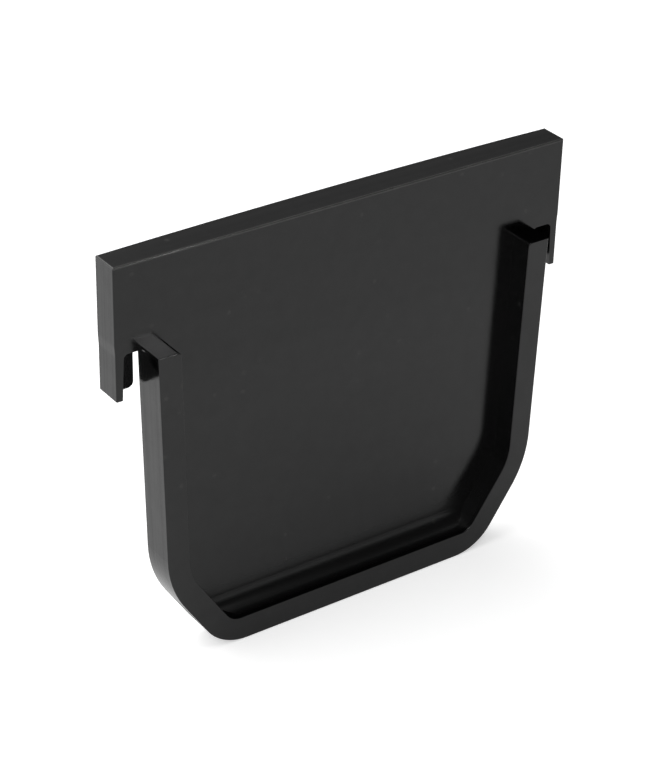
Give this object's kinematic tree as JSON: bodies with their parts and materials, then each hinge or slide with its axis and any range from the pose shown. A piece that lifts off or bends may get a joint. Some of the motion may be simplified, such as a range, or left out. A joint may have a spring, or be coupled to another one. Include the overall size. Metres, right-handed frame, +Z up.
{
  "type": "gutter end cap",
  "caption": "Black moulded end cap for a drainage gutter: a flat wall with a U-shaped rim standing forward, a wide band along the top and a hooked leg at each end.",
  "frame": {"origin": "middle of the underside, in the plane of the front wall's face", "axes": "+X across the cap, +Y from the rimmed front to the plain back, +Z up to the band"},
  "size_m": [0.118, 0.0135, 0.1004],
  "materials": {
    "black_plastic": "smooth satin black, as moulded"
  },
  "bodies": {
    "root": {"end_cap": "black_plastic"}
  },
  "joints": []
}
